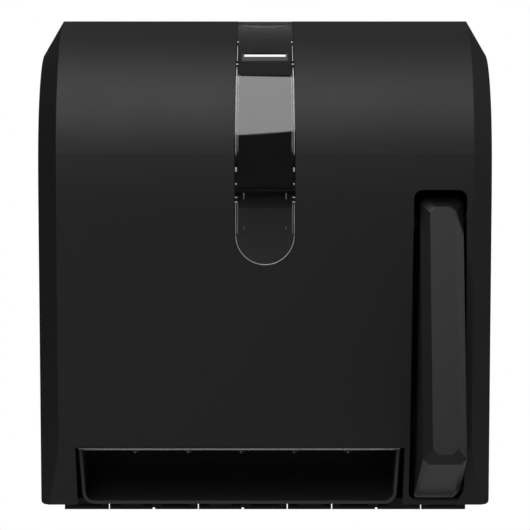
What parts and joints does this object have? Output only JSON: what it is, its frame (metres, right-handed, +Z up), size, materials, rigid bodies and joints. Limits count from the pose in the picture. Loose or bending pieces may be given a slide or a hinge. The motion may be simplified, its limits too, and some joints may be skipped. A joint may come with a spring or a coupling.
{
  "type": "lever paper towel dispenser",
  "caption": "Black wall-mounted lever paper towel dispenser: arched hinged cover, smoked window, long push lever, sector-driven feed roller, outlet with saw-edged tear bar.",
  "frame": {"origin": "centre of the flat back face at mid-width and mid-height, on the wall plane", "axes": "+X to the right seen from the front, +Y into the wall, +Z up"},
  "size_m": [0.33, 0.242, 0.366],
  "materials": {
    "casing": "satin moulded black, fine grain",
    "window": "clear smoke, polished",
    "lever": "satin moulded black",
    "chassis": "moulded black",
    "grey_plastic": "moulded grey",
    "white_plastic": "moulded natural",
    "steel": "bright drawn",
    "blade": "brushed, saw edge",
    "plated": "black plated sheet",
    "grip": "moulded rubber",
    "spring": "drawn wire"
  },
  "bodies": {
    "chassis": {"back_housing": "casing", "foot_tray": "casing", "left_frame": "plated", "right_frame": "plated", "chute": "chassis", "nose_guide": "chassis", "tear_bar": "blade", "feed_bush_left": "white_plastic", "feed_bush_right": "white_plastic", "lever_bracket": "plated", "lever_pivot_pin": "plated", "lever_spring": "spring", "hinge_pin_left": "steel", "hinge_pin_right": "steel", "pinch_spring_left": "spring", "pinch_spring_right": "spring", "spring_post": "grey_plastic", "right_roll_arm": "grey_plastic", "arm_lug_lower": "grey_plastic", "arm_lug_upper": "grey_plastic", "arm_pivot_pin": "steel"},
    "cover": {"cover_shell": "casing", "window": "window", "keeper_left": "casing", "keeper_right": "casing"},
    "lever": {"lever_grip": "lever", "sector_arm": "chassis"},
    "pinion": {"drive_pinion": "white_plastic", "clutch_ring": "steel"},
    "feed_roller": {"feed_shaft": "steel", "feed_core": "grey_plastic", "feed_knob": "grey_plastic", "feed_grip_1": "grip", "feed_grip_2": "grip", "feed_grip_3": "grip", "feed_grip_4": "grip", "feed_grip_5": "grip", "feed_grip_6": "grip"},
    "pinch_carrier": {"pinch_block_left": "white_plastic", "pinch_block_right": "white_plastic", "pinch_shaft": "steel"},
    "pinch_roller": {"pinch_sleeve_1": "grey_plastic", "pinch_sleeve_2": "grey_plastic", "pinch_sleeve_3": "grey_plastic", "pinch_sleeve_4": "grey_plastic", "pinch_sleeve_5": "grey_plastic", "pinch_sleeve_6": "grey_plastic"},
    "left_arm": {"left_roll_arm": "grey_plastic"},
    "left_hub_body": {"left_hub": "grey_plastic"},
    "right_hub_body": {"right_hub": "grey_plastic"},
    "latch": {"latch_bar": "grey_plastic"}
  },
  "joints": [
    {"name": "cover_hinge", "type": "hinge", "parent": "chassis", "child": "cover", "pos_m": [0, -0.152, -0.168], "axis": [1, 0, 0], "range_deg": [0, 80]},
    {"name": "lever_swing", "type": "hinge", "parent": "chassis", "child": "lever", "pos_m": [0, -0.165, 0.033], "axis": [1, 0, 0], "range_deg": [0, 16], "stiffness_Nm_per_rad": 1, "springref_deg": -20.05, "deforming": ["lever_spring"]},
    {"name": "pinion_spin", "type": "hinge", "parent": "chassis", "child": "pinion", "pos_m": [0, -0.125, -0.10962], "axis": [1, 0, 0], "range_deg": [-301, 1]},
    {"name": "feed_spin", "type": "hinge", "parent": "chassis", "child": "feed_roller", "pos_m": [0, -0.125, -0.10962], "axis": [1, 0, 0], "continuous": true},
    {"name": "pinch_float", "type": "slide", "parent": "chassis", "child": "pinch_carrier", "axis": [0, 1, 0], "range_m": [0, 0.002], "stiffness_N_per_m": 2000, "springref_m": -0.001, "deforming": ["pinch_spring_left", "pinch_spring_right"]},
    {"name": "pinch_spin", "type": "hinge", "parent": "pinch_carrier", "child": "pinch_roller", "pos_m": [0, -0.0947, -0.10962], "axis": [1, 0, 0], "continuous": true},
    {"name": "left_arm_swing", "type": "hinge", "parent": "chassis", "child": "left_arm", "pos_m": [-0.128, -0.014, 0.08], "axis": [0, 0, -1], "range_deg": [0, 12], "stiffness_Nm_per_rad": 0.3, "springref_deg": -9.74},
    {"name": "left_hub_spin", "type": "hinge", "parent": "left_arm", "child": "left_hub_body", "pos_m": [-0.112, -0.103, 0.08], "axis": [1, 0, 0], "continuous": true},
    {"name": "right_hub_spin", "type": "hinge", "parent": "chassis", "child": "right_hub_body", "pos_m": [0.076, -0.103, 0.08], "axis": [1, 0, 0], "continuous": true},
    {"name": "latch_slide", "type": "slide", "parent": "chassis", "child": "latch", "axis": [1, 0, 0], "range_m": [0, 0.01]}
  ],
  "couplings": [
    {"joint": "pinion_spin", "follows": "lever_swing", "ratio": -18.75},
    {"joint": "pinch_spin", "follows": "feed_spin", "ratio": -2}
  ]
}
